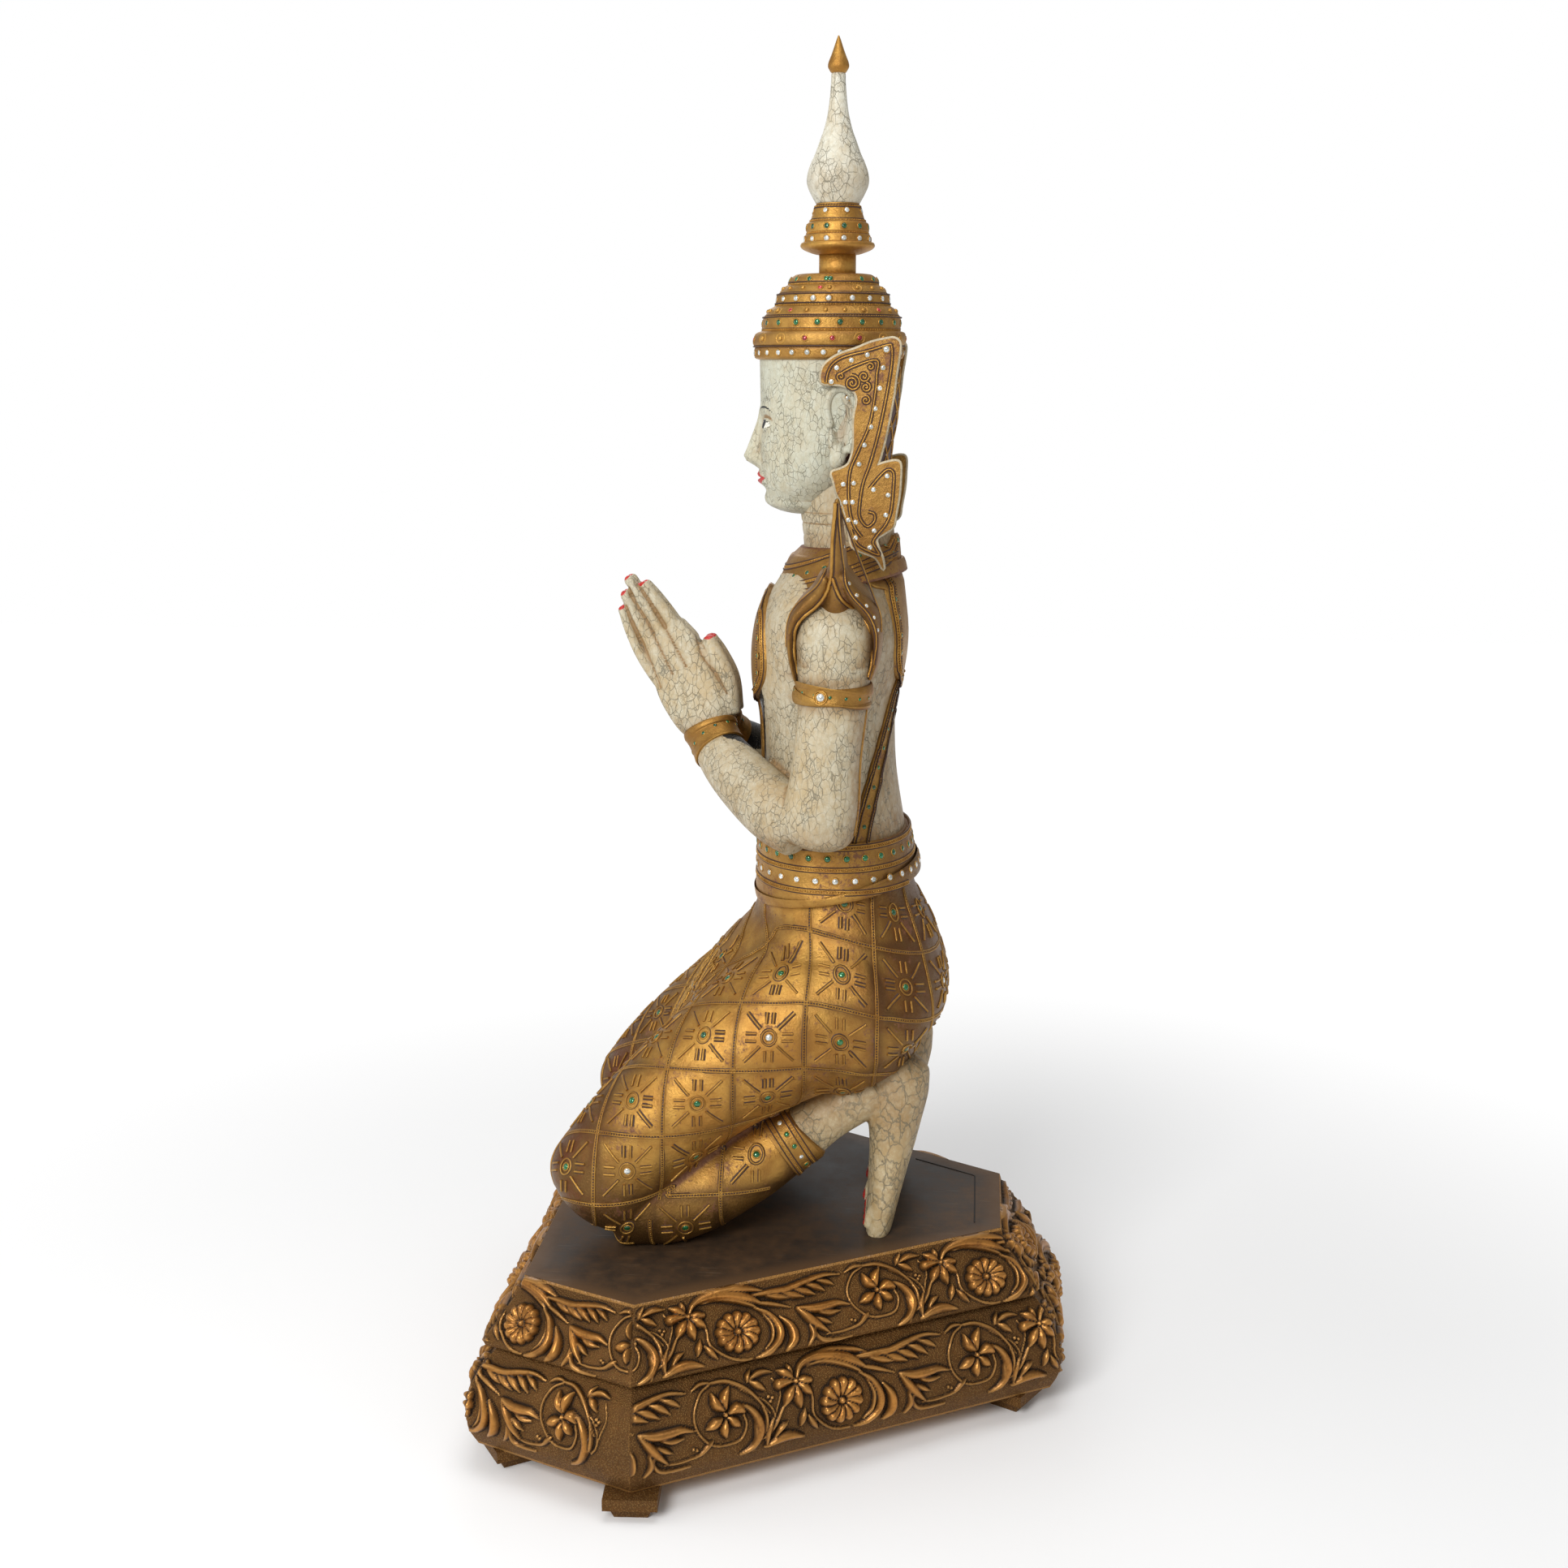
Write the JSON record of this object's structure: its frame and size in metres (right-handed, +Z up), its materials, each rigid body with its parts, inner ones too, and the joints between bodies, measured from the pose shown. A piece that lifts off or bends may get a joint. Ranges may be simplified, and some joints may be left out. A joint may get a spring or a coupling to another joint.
{
  "type": "kneeling worshipper figure",
  "caption": "Carved and gilded wooden figure, kneeling upright with hands pressed together, in a tiered crown with a tall spire, on a stepped plinth carved with scrolling flowers.",
  "frame": {"origin": "centre of the bounding box at the level of the plinth's feet", "axes": "+Z up, the figure faces -Y, its left side is +X"},
  "size_m": [0.679, 0.5988, 1.3654],
  "materials": {
    "gilt_wood": "worn gold leaf over red-brown ground, satin",
    "white_painted_wood": "cream white paint with fine grey-green crackle, eggshell",
    "bronzed_wood": "dark brown with bronze-gold rubbed on the raised ornament, satin",
    "dark_board": "dark brown lacquered board, satin, lightly scratched",
    "clear_glass": "foil-backed clear glass dots, gloss",
    "green_glass": "foil-backed green glass dots, gloss",
    "red_glass": "foil-backed red glass dots, gloss"
  },
  "bodies": {
    "root": {"figure": "gilt_wood", "crown_spire": "white_painted_wood", "ear_flange_left": "gilt_wood", "ear_flange_right": "gilt_wood", "shoulder_flame_left": "gilt_wood", "shoulder_flame_right": "gilt_wood", "plinth_upper_tier": "bronzed_wood", "plinth_lower_tier": "bronzed_wood", "plinth_foot_front_left": "bronzed_wood", "plinth_foot_left": "bronzed_wood", "plinth_foot_rear_left": "bronzed_wood", "plinth_foot_rear_right": "bronzed_wood", "plinth_foot_right": "bronzed_wood", "plinth_foot_front_right": "bronzed_wood"}
  },
  "joints": []
}
